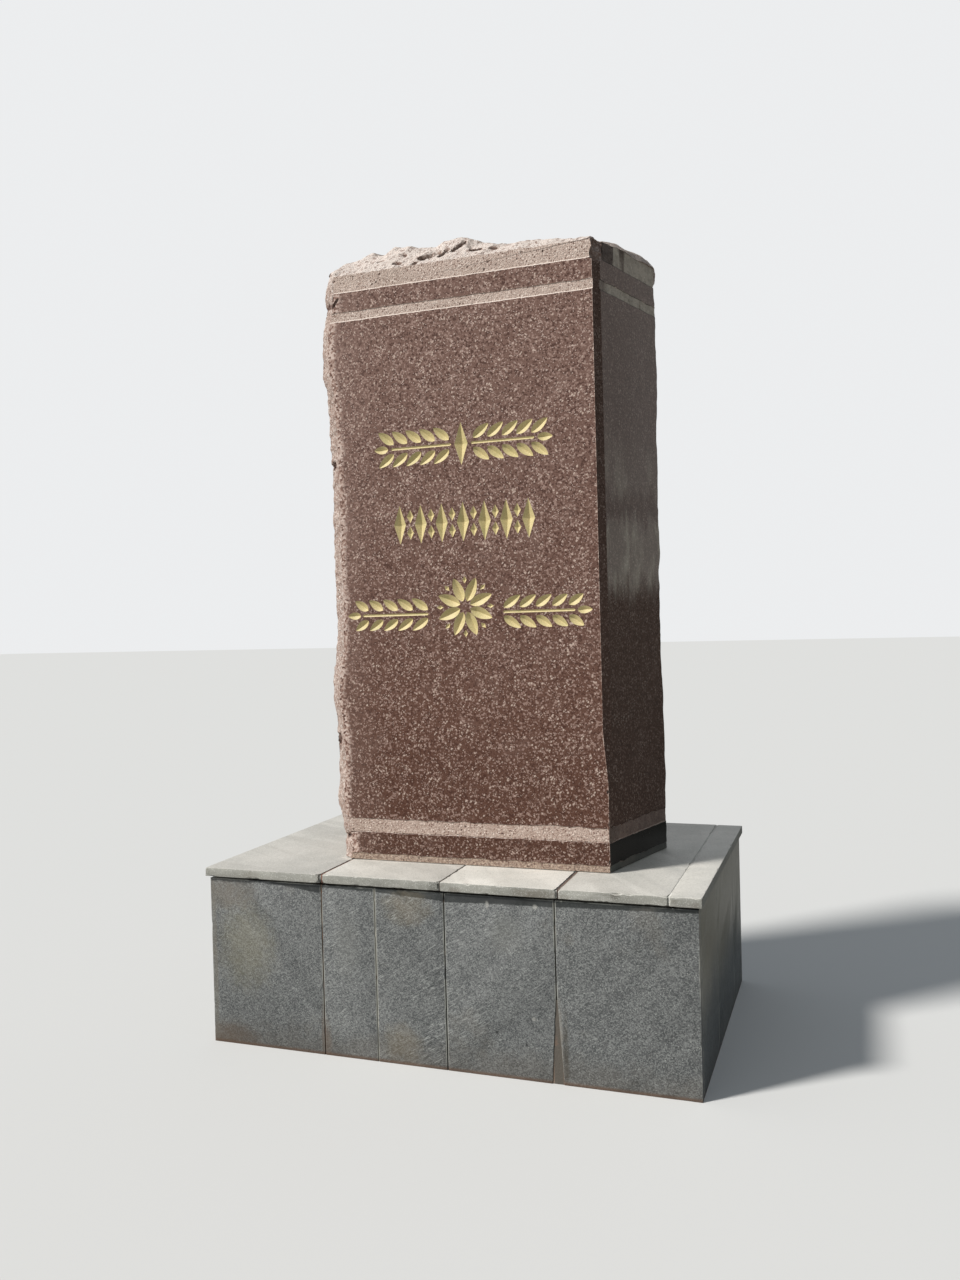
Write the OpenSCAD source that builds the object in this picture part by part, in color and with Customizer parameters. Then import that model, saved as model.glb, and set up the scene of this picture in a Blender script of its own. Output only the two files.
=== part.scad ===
// Rough-backed granite stele on a clad plinth, in millimetres
// Z is up, the worked front faces -Y, the origin is the middle of the plinth's footprint on the ground

/* [Plinth] */
// length of the plinth across the front panels
plinth_w = 1740; // [1700:10:1900]
// depth of the plinth from front panels to back panels
plinth_d = 1140; // [1040:10:1240]
// height of the facing panels
panel_h = 592; // [520:1:660]
// thickness of the facing panels
panel_t = 30; // [20:1:40]
// mortar behind the facing panels
backing_t = 12; // [8:1:20]
// width of a pointed joint between two panels
panel_joint = 4; // [2:0.5:8]
// how far the pointing stays behind the face of the panels
joint_setback = 3; // [1:0.5:8]
// joint between a side panel and the front or back panel that covers its end
corner_joint = 5; // [3:0.5:10]

/* [Panels of the front, from the left end] */
// first panel with half its joint
front_panel_1_w = 447; // [400:1:480]
// second panel from joint to joint
front_panel_2_w = 203; // [160:1:240]
// third panel from joint to joint
front_panel_3_w = 253; // [210:1:290]
// fourth panel from joint to joint, the fifth takes what is left
front_panel_4_w = 380; // [330:1:420]

/* [Panels of the sides, from the front end] */
// first panel with half its joint
side_panel_1_w = 383; // [330:1:430]
// second panel from joint to joint, the third takes what is left
side_panel_2_w = 459; // [400:1:500]

/* [Worn joint at the foot of the front] */
// height at which the worn joint starts to open
worn_h = 285; // [150:5:400]
// width of the worn joint at the ground
worn_w = 40; // [12:1:60]

/* [Cap slabs] */
// thickness of the cap slabs
cap_t = 30; // [20:1:50]
// how far the cap slabs pass the panels
cap_over = 12; // [5:1:30]
// mortar bed under the cap slabs
cap_bed = 8; // [4:1:15]
// how far that bed stays behind the face of the panels
cap_bed_setback = 14; // [5:1:25]
// width of a joint between two cap slabs
cap_joint = 5; // [3:0.5:10]
// small run of the cap slabs out of line at the front
cap_stagger = 4; // [0:0.5:6]
// second slab from joint to joint, the first takes what is left
cap_slab_2_w = 439; // [400:1:465]
// third slab from joint to joint
cap_slab_3_w = 404; // [370:1:430]
// fourth slab from joint to joint
cap_slab_4_w = 355; // [320:1:380]
// narrow fifth slab from its joint to the right end of the panels
cap_slab_5_w = 88; // [60:1:120]

/* [Stele] */
// height of the stele at its highest point
stele_h = 2232; // [2120:2:2300]
// front face of the stele, counted from the front of the plinth
stele_front = 232; // [180:2:260]
// sharp front right corner of the stele, counted from the middle of the plinth
stele_right = 545; // [500:1:600]
// left edge of the worked front face, counted from the middle of the plinth
stele_left = -422; // [-450:1:-390]
// length of the worked right side along its slope
side_len = 441; // [400:1:480]
// how far the right side turns outwards to the back
side_angle = 15; // [8:0.5:20]
// how far the split left side stands out beyond the worked front
left_swell = 60; // [45:1:80]
// depth over which the split left edge rounds into the worked front
edge_round = 40; // [35:1:70]
// how far the left side leans out towards the back
left_lean = 98; // [70:1:120]
// how far the split back stands out beyond the worked right side
back_swell = 78; // [40:1:110]
// corner split off between the left side and the back
back_corner = 36; // [20:1:55]
// mortar bed under the stele
stele_bed = 3; // [2:0.5:6]

/* [Tooled bands of the stele] */
// depth of the bush-hammered bands below the polished faces
band_cut = 2; // [1:0.5:8]
// height of the stone from its foot to the top bush-hammered band
top_band_z = 2060; // [2000:1:2100]
// polished stripe between the two upper bush-hammered bands
polished_stripe = 72; // [50:1:90]
// narrow bush-hammered band under that stripe
narrow_band = 32; // [20:1:50]
// underside of the lower bush-hammered band, counted from the foot of the stone
low_band_z = 104; // [90:1:130]
// height of the lower bush-hammered band
low_band = 44; // [30:1:60]
// height of the bush-hammered strip at the foot
foot_band = 21; // [15:1:30]

/* [Chamfer of the front right corner] */
// width of the chamfer on the front face
chamfer_front = 14; // [8:1:25]
// width of the chamfer on the right side
chamfer_side = 30; // [15:1:40]
// height at which the chamfer has its full width, counted from the foot of the stone
chamfer_z = 470; // [400:5:600]
// length of the run-out below it
chamfer_runout = 170; // [100:5:250]

/* [Split faces] */
// depth of the broad hollows and swells of the split faces
split_broad = 13; // [5:0.5:18]
// depth of the smaller facets of the split faces
split_small = 8; // [2:0.5:12]
// height between two rows of facets
facet_z = 76; // [70:2:140]
// size of the facets on the top
facet_top = 50; // [45:1:90]
// slope of the split edge above the top band at the front, as rise over run
front_break = 1.6; // [1.2:0.05:2]
// slope of the split edge above the top band on the right side
side_break = 1.9; // [1.4:0.05:2.4]

/* [Hidden] */
hw = plinth_w / 2;
hd = plinth_d / 2;
over = 1;
core_w = plinth_w - 2 * panel_t - 2 * backing_t;
core_d = plinth_d - 2 * panel_t - 2 * backing_t;
cap_z = panel_h + cap_bed;
cap_top = cap_z + cap_t;
foot_z = cap_top + stele_bed;

// ends and joints of the front panels from left to right
front_cuts = [-hw, -hw + front_panel_1_w, -hw + front_panel_1_w + front_panel_2_w,
    -hw + front_panel_1_w + front_panel_2_w + front_panel_3_w,
    -hw + front_panel_1_w + front_panel_2_w + front_panel_3_w + front_panel_4_w, hw];
// ends and joints of the side panels from front to back
side_cuts = [-hd + panel_t + corner_joint, -hd + panel_t + side_panel_1_w,
    -hd + panel_t + side_panel_1_w + side_panel_2_w, hd - panel_t - corner_joint];
// ends and joints of the cap slabs from left to right
cap_cuts = [-hw, hw - cap_slab_5_w - cap_slab_4_w - cap_slab_3_w - cap_slab_2_w,
    hw - cap_slab_5_w - cap_slab_4_w - cap_slab_3_w, hw - cap_slab_5_w - cap_slab_4_w, hw - cap_slab_5_w, hw];
// how far the front end of each slab stands out of line, as shares of cap_stagger
cap_slip = [-0.5, 0.6, 0, 0.4, -0.25];

// corners of the stele in plan
front_y = -hd + stele_front;
side_x = stele_right + side_len * sin(side_angle);
side_y = front_y + side_len * cos(side_angle);

// Plinth: a core clad with upright panels in mortar
module box_between(x0, x1, y0, y1, z0, z1) {
    translate([x0, y0, z0]) cube([x1 - x0, y1 - y0, z1 - z0]);
}

module plinth_core() {
    color("#8f8d88") box_between(-core_w / 2, core_w / 2, -core_d / 2, core_d / 2, 0, panel_h);
}

// outline of the worn joint in the front view, g is the extra room beside it
module worn_outline(g) {
    polygon([[front_cuts[4] - worn_w / 2 - g, 0], [front_cuts[4] + worn_w / 2 + g, 0],
        [front_cuts[4] + panel_joint / 2 + g, worn_h], [front_cuts[4] + panel_joint / 2 + g, panel_h],
        [front_cuts[4] - panel_joint / 2 - g, panel_h], [front_cuts[4] - panel_joint / 2 - g, worn_h]]);
}

module worn_joint(depth) {
    translate([0, -hd + panel_t, 0]) rotate([90, 0, 0]) linear_extrude(height = depth) worn_outline(0);
}

// mortar between the end of a side panel and the panel that covers it, s is right or left, t is back or front
module corner_pointing(s, t) {
    x = hw - panel_t - over;
    y = hd - panel_t - corner_joint;
    box_between(s > 0 ? x : -hw + joint_setback, s > 0 ? hw - joint_setback : -x,
        t > 0 ? y : -y - corner_joint, t > 0 ? y + corner_joint : -y, 0, panel_h);
}

module backing_mortar() {
    color("#8a7668") union() {
        difference() {
            box_between(-hw + panel_t, hw - panel_t, -hd + panel_t, hd - panel_t, 0, panel_h);
            box_between(-core_w / 2, core_w / 2, -core_d / 2, core_d / 2, -over, panel_h + over);
        }
        for (i = [1, 2, 3]) box_between(front_cuts[i] - panel_joint / 2, front_cuts[i] + panel_joint / 2,
            -hd + joint_setback, -hd + panel_t + over, 0, panel_h);
        worn_joint(panel_t - joint_setback);
        for (i = [1, 2, 3, 4]) box_between(-front_cuts[i] - panel_joint / 2, -front_cuts[i] + panel_joint / 2,
            hd - panel_t - over, hd - joint_setback, 0, panel_h);
        for (i = [1, 2], s = [-1, 1]) translate([s * (hw - panel_t / 2 - joint_setback / 2), 0, 0])
            box_between(-(panel_t - joint_setback) / 2 - (s > 0 ? over : 0), (panel_t - joint_setback) / 2 + (s < 0 ? over : 0),
                side_cuts[i] - panel_joint / 2, side_cuts[i] + panel_joint / 2, 0, panel_h);
        for (s = [-1, 1], t = [-1, 1]) corner_pointing(s, t);
    }
}

// free end of a panel beside the joint at cut i of a row with n cuts
function panel_from(cuts, i) = cuts[i] + (i == 0 ? 0 : panel_joint / 2);
function panel_to(cuts, i) = cuts[i + 1] - (i == len(cuts) - 2 ? 0 : panel_joint / 2);

module front_panel(i) {
    color("#6f7172") difference() {
        box_between(panel_from(front_cuts, i), panel_to(front_cuts, i), -hd, -hd + panel_t, 0, panel_h);
        if (i == 3 || i == 4) translate([0, over, 0]) worn_joint(panel_t + 2 * over);
    }
}

module back_panel(i) {
    color("#6f7172") box_between(-panel_to(front_cuts, i), -panel_from(front_cuts, i), hd - panel_t, hd, 0, panel_h);
}

module side_panel(i, s) {
    color("#6f7172") box_between(s > 0 ? hw - panel_t : -hw, s > 0 ? hw : -hw + panel_t,
        panel_from(side_cuts, i), panel_to(side_cuts, i), 0, panel_h);
}

// Cap: five slabs laid from front to back
module cap_bed() {
    color("#7c6c62") box_between(-hw + cap_bed_setback, hw - cap_bed_setback,
        -hd + cap_bed_setback, hd - cap_bed_setback, panel_h, cap_z);
}

function slab_from(i) = cap_cuts[i] + (i == 0 ? -cap_over : cap_joint / 2);
function slab_to(i) = cap_cuts[i + 1] + (i == 4 ? cap_over : -cap_joint / 2);

module cap_slab(i) {
    color("#b9b8b2") box_between(slab_from(i), slab_to(i),
        -hd - cap_over + cap_slip[i] * cap_stagger, hd + cap_over + cap_slip[i] * cap_stagger, cap_z, cap_top);
}

module cap_joint(i) {
    reach = hd + cap_over - cap_stagger - joint_setback;
    color("#8d7466") box_between(cap_cuts[i] - cap_joint / 2, cap_cuts[i] + cap_joint / 2,
        -reach, reach, cap_z, cap_top - joint_setback / 2);
}

// Stele: one block with two worked faces and split left side, back and top
// a zigzag between -1 and 1, like the facets of split stone
function zigzag(a) = asin(sin(a)) / 90;

// relief of the split faces: u runs along the face, v up it, both in millimetres
function relief(u, v) = split_broad * (0.6 * zigzag(u * 0.43 + v * 0.21 + 40) + 0.4 * zigzag(v * 0.55 - u * 0.17 + 130))
    + split_small * (0.6 * zigzag(u * 1.9 + v * 1.3) + 0.4 * zigzag(v * 2.7 - u * 1.1 + 75));

// plan of the split faces from the front left corner round the back to the right side: place and way out of the stone
left_back_x = stele_left - left_lean;
left_x = stele_left - left_swell;
back_y = side_y + back_swell;
left_y = front_y + edge_round;
left_end_y = back_y - 60;
back_x = left_back_x + back_corner;
left_n = 5;
back_n = 12;
split_plan = concat(
    [[[stele_left + 32, front_y - 30], [-0.6, -0.8]],
     [[stele_left - left_swell * 0.45, front_y + edge_round * 0.28], [-0.75, -0.66]],
     [[left_x, left_y], [-0.97, -0.2]]],
    [for (k = [1 : left_n]) [[left_x + (left_back_x - left_x) * k / left_n,
        left_y + (left_end_y - left_y) * k / left_n], [-0.98, 0.1]]],
    [[[back_x, back_y - 18], [-0.6, 0.8]]],
    [for (k = [1 : back_n - 1]) [[back_x + (side_x - 70 - back_x) * k / back_n,
        back_y - 18 + 18 * sin(180 * k / back_n)], [0, 1]]],
    [[[side_x - 66, back_y - 22], [0.2, 0.97]],
     [[side_x - 8, side_y + 12], [0.5, 0.86]],
     [[side_x + 60, side_y - 60], [0.7, 0.7]]]);
// swells and hollows of the left edge: height above the foot, and way in from its mean line
left_edge = [[0, 20], [118, 21], [150, -2], [178, -11], [290, -3], [470, -2], [560, -12], [617, -22], [700, -8],
    [765, 3], [1100, 3], [1320, 8], [1425, 3], [1655, -1], [1720, -10], [1775, -20], [1880, -18], [1945, -13],
    [1975, -1], [2120, 8], [2300, 14]];
// how much of those a corner of the plan takes, and how much of the general relief
function edge_share(i) = i < 3 ? 1 : max(0, 1 - (i - 2) / left_n);
function relief_share(i) = 1 - 0.6 * edge_share(i);
// running length along the split plan up to corner i
function run(i) = i == 0 ? 0 : run(i - 1) + norm(split_plan[i][0] - split_plan[i - 1][0]);
runs = [for (i = [0 : len(split_plan) - 1]) run(i)];
outer = [[side_x + 200, side_y - 160], [side_x + 200, front_y - 160], [stele_left + 60, front_y - 160]];
ring_n = len(split_plan) + len(outer);
rows = ceil((stele_h + 80) / facet_z);
row_h = (stele_h + 80) / rows;

// rough block, still too large at the worked front and right side
module split_block() {
    pts = [for (r = [0 : rows]) each concat(
        [for (i = [0 : len(split_plan) - 1])
            let (d = relief(runs[i], r * row_h) * relief_share(i), p = split_plan[i],
                e = lookup(r * row_h - 20, left_edge) * edge_share(i))
            [p[0][0] + p[1][0] * d + e, p[0][1] + p[1][1] * d, foot_z - 20 + r * row_h]],
        [for (q = outer) [q[0], q[1], foot_z - 20 + r * row_h]])];
    walls = [for (r = [0 : rows - 1], i = [0 : ring_n - 1])
        let (a = r * ring_n + i, b = r * ring_n + (i + 1) % ring_n)
        each ((r + i) % 2 == 0 ? [[a, b, b + ring_n], [a, b + ring_n, a + ring_n]]
            : [[a, b, a + ring_n], [b, b + ring_n, a + ring_n]])];
    polyhedron(points = pts, faces = concat(walls,
        [[for (i = [ring_n - 1 : -1 : 0]) i]], [[for (i = [0 : ring_n - 1]) rows * ring_n + i]]), convexity = 8);
}

// crest of the split top along the front: way to the right of the worked front's left edge, and drop below the highest point
crest = [[-43, 88], [-16, 50], [26, 36], [59, 38], [90, 4], [118, 0], [159, 40], [191, 0], [240, 14], [257, 12],
    [311, 24], [359, 32], [422, 2], [452, 6], [500, 22], [544, 38], [583, 47], [679, 64], [772, 75], [840, 86],
    [861, 78], [926, 100], [967, 90], [1040, 54], [1100, 42]];

// height of the split top over the plan
band_top = foot_z + top_band_z + 60;
function top_z(x, y) = let (
        across = lookup(x - stele_left, crest),
        in_front = max(0, y - front_y - band_cut),
        in_right = max(0, (stele_right - x) * cos(side_angle) + (y - front_y) * sin(side_angle) - band_cut),
        waves = 0.55 * relief(x + 300, y * 1.7) * min(1, max(0.15, in_front / 220)),
        ridge = foot_z + stele_h - across - max(0, in_front - 300) * 0.15 + min(waves, across))
    min(ridge, band_top + in_front * front_break, band_top + in_right * side_break);

// lines of the facets of the top: from front to back, and from left to right at the front, leaning with the right side
lean = tan(side_angle);
top_ny = ceil((back_y + 50 - front_y - 26) / facet_top);
top_ys = concat([front_y - 40, front_y + 3], [for (k = [0 : top_ny]) front_y + 26 + k * facet_top]);
top_nx = ceil((stele_right - left_back_x + (back_y + 90 - front_y) * lean) / facet_top);
top_xs = concat([for (k = [top_nx : -1 : 0]) stele_right - 30 - k * facet_top], [stele_right - 4, stele_right + 40]);
cols = len(top_xs);
top_rows = len(top_ys);

// what the mason split off above the stone
module above_top() {
    roof = foot_z + stele_h + 120;
    low = [for (j = [0 : top_rows - 1], i = [0 : cols - 1])
        let (dy = j > 2 && j < top_rows - 1 ? 10 * zigzag(i * 73 + j * 191) : 0,
            dx = i > 0 && i < cols - 4 ? 12 * zigzag(i * 157 + j * 83) : 0,
            y = top_ys[j] + dy, x = top_xs[i] + (y - front_y) * lean + dx)
        [x, y, top_z(x, y)]];
    m = len(low);
    high = [for (j = [0 : top_rows - 1], i = [0 : cols - 1])
        [top_xs[i] + (top_ys[j] - front_y) * lean, top_ys[j], roof]];
    skin = [for (j = [0 : top_rows - 2], i = [0 : cols - 2]) let (a = j * cols + i)
        each ((i + j) % 2 == 0 ? [[a, a + 1, a + cols + 1], [a, a + cols + 1, a + cols]]
            : [[a, a + 1, a + cols], [a + 1, a + cols + 1, a + cols]])];
    lid = [for (j = [0 : top_rows - 2], i = [0 : cols - 2]) let (a = m + j * cols + i)
        each [[a, a + cols + 1, a + 1], [a, a + cols, a + cols + 1]]];
    last = (top_rows - 1) * cols;
    rim = concat(
        [for (i = [0 : cols - 2]) each [[i, i + m, i + m + 1], [i, i + m + 1, i + 1]]],
        [for (i = [0 : cols - 2]) let (a = last + i) each [[a, a + m + 1, a + m], [a, a + 1, a + m + 1]]],
        [for (j = [0 : top_rows - 2]) let (a = j * cols) each [[a, a + m + cols, a + m], [a, a + cols, a + m + cols]]],
        [for (j = [0 : top_rows - 2]) let (a = j * cols + cols - 1)
            each [[a, a + m, a + m + cols], [a, a + m + cols, a + cols]]]);
    polyhedron(points = concat(low, high), faces = concat(skin, lid, rim), convexity = 8);
}

// plan of the worked faces, with the front right corner sharp
module worked_prism() {
    far = side_len + 180;
    translate([0, 0, foot_z]) linear_extrude(height = stele_h + 60) polygon([
        [left_back_x - 60, front_y], [stele_right, front_y],
        [stele_right + far * sin(side_angle), front_y + far * cos(side_angle)],
        [left_back_x - 60, front_y + far * cos(side_angle)]]);
}

// strip taken off the front right corner, running out to a point at its foot
module corner_chamfer() {
    a = [stele_right - chamfer_front, front_y];
    c = [stele_right + chamfer_side * sin(side_angle), front_y + chamfer_side * cos(side_angle)];
    m = [(a[0] + c[0]) / 2, (a[1] + c[1]) / 2];
    e = [stele_right + (stele_right - m[0]) * 3, front_y + (front_y - m[1]) * 3];
    z0 = foot_z + chamfer_z;
    z1 = foot_z + stele_h + 80;
    zp = z0 - chamfer_runout;
    a2 = [a[0] + (a[0] - c[0]) * 0.5, a[1] + (a[1] - c[1]) * 0.5];
    c2 = [c[0] + (c[0] - a[0]) * 0.5, c[1] + (c[1] - a[1]) * 0.5];
    k = [stele_right, front_y];
    f = 0.5;
    polyhedron(points = [[a2[0], a2[1], z0], [c2[0], c2[1], z0], [e[0], e[1], z0],
            [a2[0], a2[1], z1], [c2[0], c2[1], z1], [e[0], e[1], z1],
            [k[0] + (a2[0] - c2[0]) * f, k[1] + (a2[1] - c2[1]) * f, zp],
            [k[0] + (c2[0] - a2[0]) * f, k[1] + (c2[1] - a2[1]) * f, zp]],
        faces = [[3, 4, 5], [1, 4, 3, 0], [2, 5, 4, 1], [3, 5, 2, 0], [7, 1, 0, 6], [0, 2, 6], [2, 1, 7], [2, 7, 6]]);
}

// one bush-hammered band cut back from the front and the right side
module band_recess(z0, h) {
    sa = sin(side_angle);
    ca = cos(side_angle);
    far = side_len + 150;
    kt = band_cut * (1 - sa) / ca;
    kx = stele_right - band_cut * ca + kt * sa;
    ky = front_y + band_cut;
    translate([0, 0, foot_z + z0]) linear_extrude(height = h) polygon([[left_back_x - 60, front_y - 50],
        [stele_right + 50, front_y - 50], [stele_right + far * sa + 50, front_y + far * ca - 50],
        [kx + far * sa, ky + far * ca], [kx, ky], [left_back_x - 60, ky]]);
}

module stele() {
    color("#7b4f47") difference() {
        intersection() {
            split_block();
            worked_prism();
        }
        above_top();
        corner_chamfer();
        band_recess(-over, foot_band + over);
        band_recess(low_band_z, low_band);
        band_recess(top_band_z - polished_stripe - narrow_band, narrow_band);
        band_recess(top_band_z, stele_h - top_band_z + over);
    }
}

// thin mortar bed that stays a little inside the foot of the stele
module stele_bed() {
    g = 26;
    in = band_cut + 4;
    color("#a59a8e") translate([0, 0, cap_top]) linear_extrude(height = stele_bed)
        polygon([[stele_left + g, front_y + in], [stele_right - 8, front_y + in], [side_x - 14, side_y - g],
            [side_x - 90, back_y - 18 - g * 1.4], [back_x + 14 + g, back_y - 18 - g * 1.4], [left_x + g * 1.9, left_y + g]]);
}

plinth_core();
backing_mortar();
front_panel(0);  // front_panel_1
front_panel(1);  // front_panel_2
front_panel(2);  // front_panel_3
front_panel(3);  // front_panel_4
front_panel(4);  // front_panel_5
side_panel(0, 1);  // right_panel_1
side_panel(1, 1);  // right_panel_2
side_panel(2, 1);  // right_panel_3
side_panel(0, -1);  // left_panel_1
side_panel(1, -1);  // left_panel_2
side_panel(2, -1);  // left_panel_3
back_panel(0);  // back_panel_1
back_panel(1);  // back_panel_2
back_panel(2);  // back_panel_3
back_panel(3);  // back_panel_4
back_panel(4);  // back_panel_5
cap_bed();
cap_slab(0);  // cap_slab_1
cap_slab(1);  // cap_slab_2
cap_slab(2);  // cap_slab_3
cap_slab(3);  // cap_slab_4
cap_slab(4);  // cap_slab_5
cap_joint(1);  // cap_joint_1
cap_joint(2);  // cap_joint_2
cap_joint(3);  // cap_joint_3
cap_joint(4);  // cap_joint_4
stele_bed();
stele();
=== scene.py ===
import math
import random

import bmesh
import bpy
from mathutils import Matrix, Vector, geometry, noise


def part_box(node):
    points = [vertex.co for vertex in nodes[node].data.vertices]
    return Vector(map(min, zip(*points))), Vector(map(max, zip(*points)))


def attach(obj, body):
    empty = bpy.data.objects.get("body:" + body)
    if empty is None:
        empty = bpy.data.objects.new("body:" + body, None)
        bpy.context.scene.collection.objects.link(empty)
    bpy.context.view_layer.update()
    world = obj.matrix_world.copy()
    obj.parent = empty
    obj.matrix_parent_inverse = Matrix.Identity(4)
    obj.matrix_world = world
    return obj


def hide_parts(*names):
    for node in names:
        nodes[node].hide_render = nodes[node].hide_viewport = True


# Split granite stele on a clad plinth: metres, the ornamented front faces -Y, the ground is at z = 0
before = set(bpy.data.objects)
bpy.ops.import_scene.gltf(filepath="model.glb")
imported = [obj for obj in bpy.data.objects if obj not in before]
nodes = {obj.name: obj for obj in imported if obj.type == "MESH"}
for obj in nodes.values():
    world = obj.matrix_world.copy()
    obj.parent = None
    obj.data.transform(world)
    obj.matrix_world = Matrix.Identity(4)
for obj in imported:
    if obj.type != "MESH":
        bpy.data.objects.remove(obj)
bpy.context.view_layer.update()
scene = bpy.context.scene

# Camera
# a hand-held view from a little to the right of the middle, at the height of a standing person's chest
lens_shape = bpy.data.cameras.new("camera")
lens_shape.sensor_width = 36.0
lens_shape.lens = 29.65
camera = bpy.data.objects.new("camera", lens_shape)
scene.collection.objects.link(camera)
yaw, pitch, roll = math.radians(19.82), math.radians(-0.97), math.radians(-1.50)
ahead = Vector((-math.sin(yaw) * math.cos(pitch), math.cos(yaw) * math.cos(pitch), math.sin(pitch)))
across = Vector((math.cos(yaw), math.sin(yaw), 0.0))
upward = across.cross(ahead)
turned_across = across * math.cos(roll) + upward * math.sin(roll)
turned_upward = upward * math.cos(roll) - across * math.sin(roll)
camera.rotation_euler = Matrix((turned_across, turned_upward, -ahead)).transposed().to_euler()
camera.location = (1.3469, -3.7921, 1.4853)
scene.camera = camera

# Light and floor
# a broad soft key light from high on the left, a pale room and a plain pale floor that takes the shadow
scene.view_settings.view_transform = "Standard"
key_shape = bpy.data.lights.new("key_light", "SUN")
key_shape.energy = 4.3
key_shape.angle = math.radians(8.0)
key_shape.color = (1.0, 0.975, 0.94)
key = bpy.data.objects.new("key_light", key_shape)
key.rotation_euler = Vector((0.56, 0.47, -0.68)).to_track_quat("-Z", "Y").to_euler()
scene.collection.objects.link(key)


def tone(r, g, b, shade=1.0):
    """A colour named by its usual 0 to 255 values, as light, and made paler or darker by a shade."""
    usual = [c * shade / 255 for c in (r, g, b)]
    return tuple(c / 12.92 if c <= 0.04 else ((c + 0.055) / 1.055) ** 2.4 for c in usual) + (1.0,)


class Field:
    """A number, vector or colour that changes over a surface, so that shader maths reads as sums."""

    def __init__(self, tree, socket=None):
        self.tree = tree
        self.socket = socket

    def node(self, kind, settings=None, out=0, **values):
        """Any other node: its settings come first, then the values or links of its sockets.
        A socket goes by its name, or by n and its number where several have the same name."""
        made = self.tree.nodes.new(kind)
        for name, value in (settings or {}).items():
            if name == "stops":
                ramp = made.color_ramp
                for element, (place, colour) in zip(ramp.elements, (value[0], value[-1])):
                    element.position = place
                    element.color = colour
                for place, colour in value[1:-1]:
                    ramp.elements.new(place).color = colour
            else:
                setattr(made, name, value)
        for name, value in values.items():
            key = int(name[1:]) if name[0] == "n" and name[1:].isdigit() else name.replace("_", " ")
            if isinstance(value, Field):
                self.tree.links.new(value.socket, made.inputs[key])
            else:
                made.inputs[key].default_value = value
        return Field(self.tree, made.outputs[out] if made.outputs else None)

    def feeds(self, skin, name):
        self.tree.links.new(self.socket, skin.inputs[name])

    def maths(self, operation, *others):
        values = {"n%d" % i: v for i, v in enumerate((self,) + others)}
        return self.node("ShaderNodeMath", {"operation": operation}, **values)

    def __add__(self, other):
        return self.maths("ADD", other)

    __radd__ = __add__

    def __mul__(self, other):
        return self.maths("MULTIPLY", other)

    __rmul__ = __mul__

    def __sub__(self, other):
        return self.maths("SUBTRACT", other)

    def __rsub__(self, other):
        return self.node("ShaderNodeMath", {"operation": "SUBTRACT"}, n0=other, n1=self)

    def larger(self, other):
        return self.maths("MAXIMUM", other)

    def smaller(self, other):
        return self.maths("MINIMUM", other)

    def rise(self, low, high):
        """0 below low, 1 above high, smooth between. With low above high it falls."""
        smooth = {"interpolation_type": "SMOOTHSTEP"}
        return self.node("ShaderNodeMapRange", smooth, Value=self, From_Min=low, From_Max=high)

    def blend(self, a, b):
        """Colour a where this is 0, colour b where it is 1. Three numbers are a tone, four are light."""
        a, b = (c if isinstance(c, Field) or len(c) == 4 else tone(*c) for c in (a, b))
        return self.node("ShaderNodeMix", {"data_type": "RGBA"}, out=2, n0=self, n6=a, n7=b)

    def darkened(self, factor):
        """This colour times a number that changes over the surface."""
        grey = factor.node("ShaderNodeCombineColor", None, Red=factor, Green=factor, Blue=factor)
        multiply = {"data_type": "RGBA", "blend_type": "MULTIPLY"}
        return self.node("ShaderNodeMix", multiply, out=2, n0=1.0, n6=self, n7=grey)

    def part(self, i):
        return self.node("ShaderNodeSeparateXYZ", None, out=i, Vector=self)

    def vector_maths(self, operation, **values):
        return self.node("ShaderNodeVectorMath", {"operation": operation}, n0=self, **values)

    def drawn_out(self, times, turn=(0.0, 0.0, 0.0)):
        """The same place in a lattice that is turned and then drawn out along its third axis."""
        lattice = {"vector_type": "TEXTURE"}
        return self.node("ShaderNodeMapping", lattice, Vector=self, Rotation=turn, Scale=(1.0, 1.0, times))

    def cloud(self, scale, detail=2.0, roughness=0.55, out=0):
        values = {"Vector": self, "Scale": scale, "Detail": detail, "Roughness": roughness}
        return self.node("ShaderNodeTexNoise", None, out, **values)

    def cells(self, scale):
        """Cells of stone: how far off the cell's middle, and a random number that the whole cell shares."""
        gap = self.node("ShaderNodeTexVoronoi", None, Vector=self, Scale=scale)
        return gap, Field(self.tree, gap.socket.node.outputs["Color"]).part(0)

    def cell_numbers(self, scale):
        return self.cells(scale)[1]

    def warped(self, scale, amount):
        """The same place, pushed about by noise."""
        push = self.cloud(scale, 2.0, 0.5, out="Color").vector_maths("SUBTRACT", n1=(0.5, 0.5, 0.5))
        return self.vector_maths("ADD", n1=push.vector_maths("SCALE", Scale=amount))

    def flecks(self, scale, share, size):
        """Scattered grains: 1 on a grain, 0 between. A share of the cells has one, size is its half width."""
        gap, pick = self.warped(scale * 1.5, 0.45 / scale).cells(scale)
        return pick.rise(0.98 - share, 1.02 - share) * gap.rise(size * 1.35, size * 0.65)

    def facing(self, axis, out="True Normal"):
        """How squarely the surface looks along an axis, from -1 to 1."""
        return self.node("ShaderNodeNewGeometry", None, out).part(axis)

    def light_path(self, kind):
        """1 where a ray of light is of this kind, 0 for any other ray."""
        return self.node("ShaderNodeLightPath", None, kind)


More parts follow.
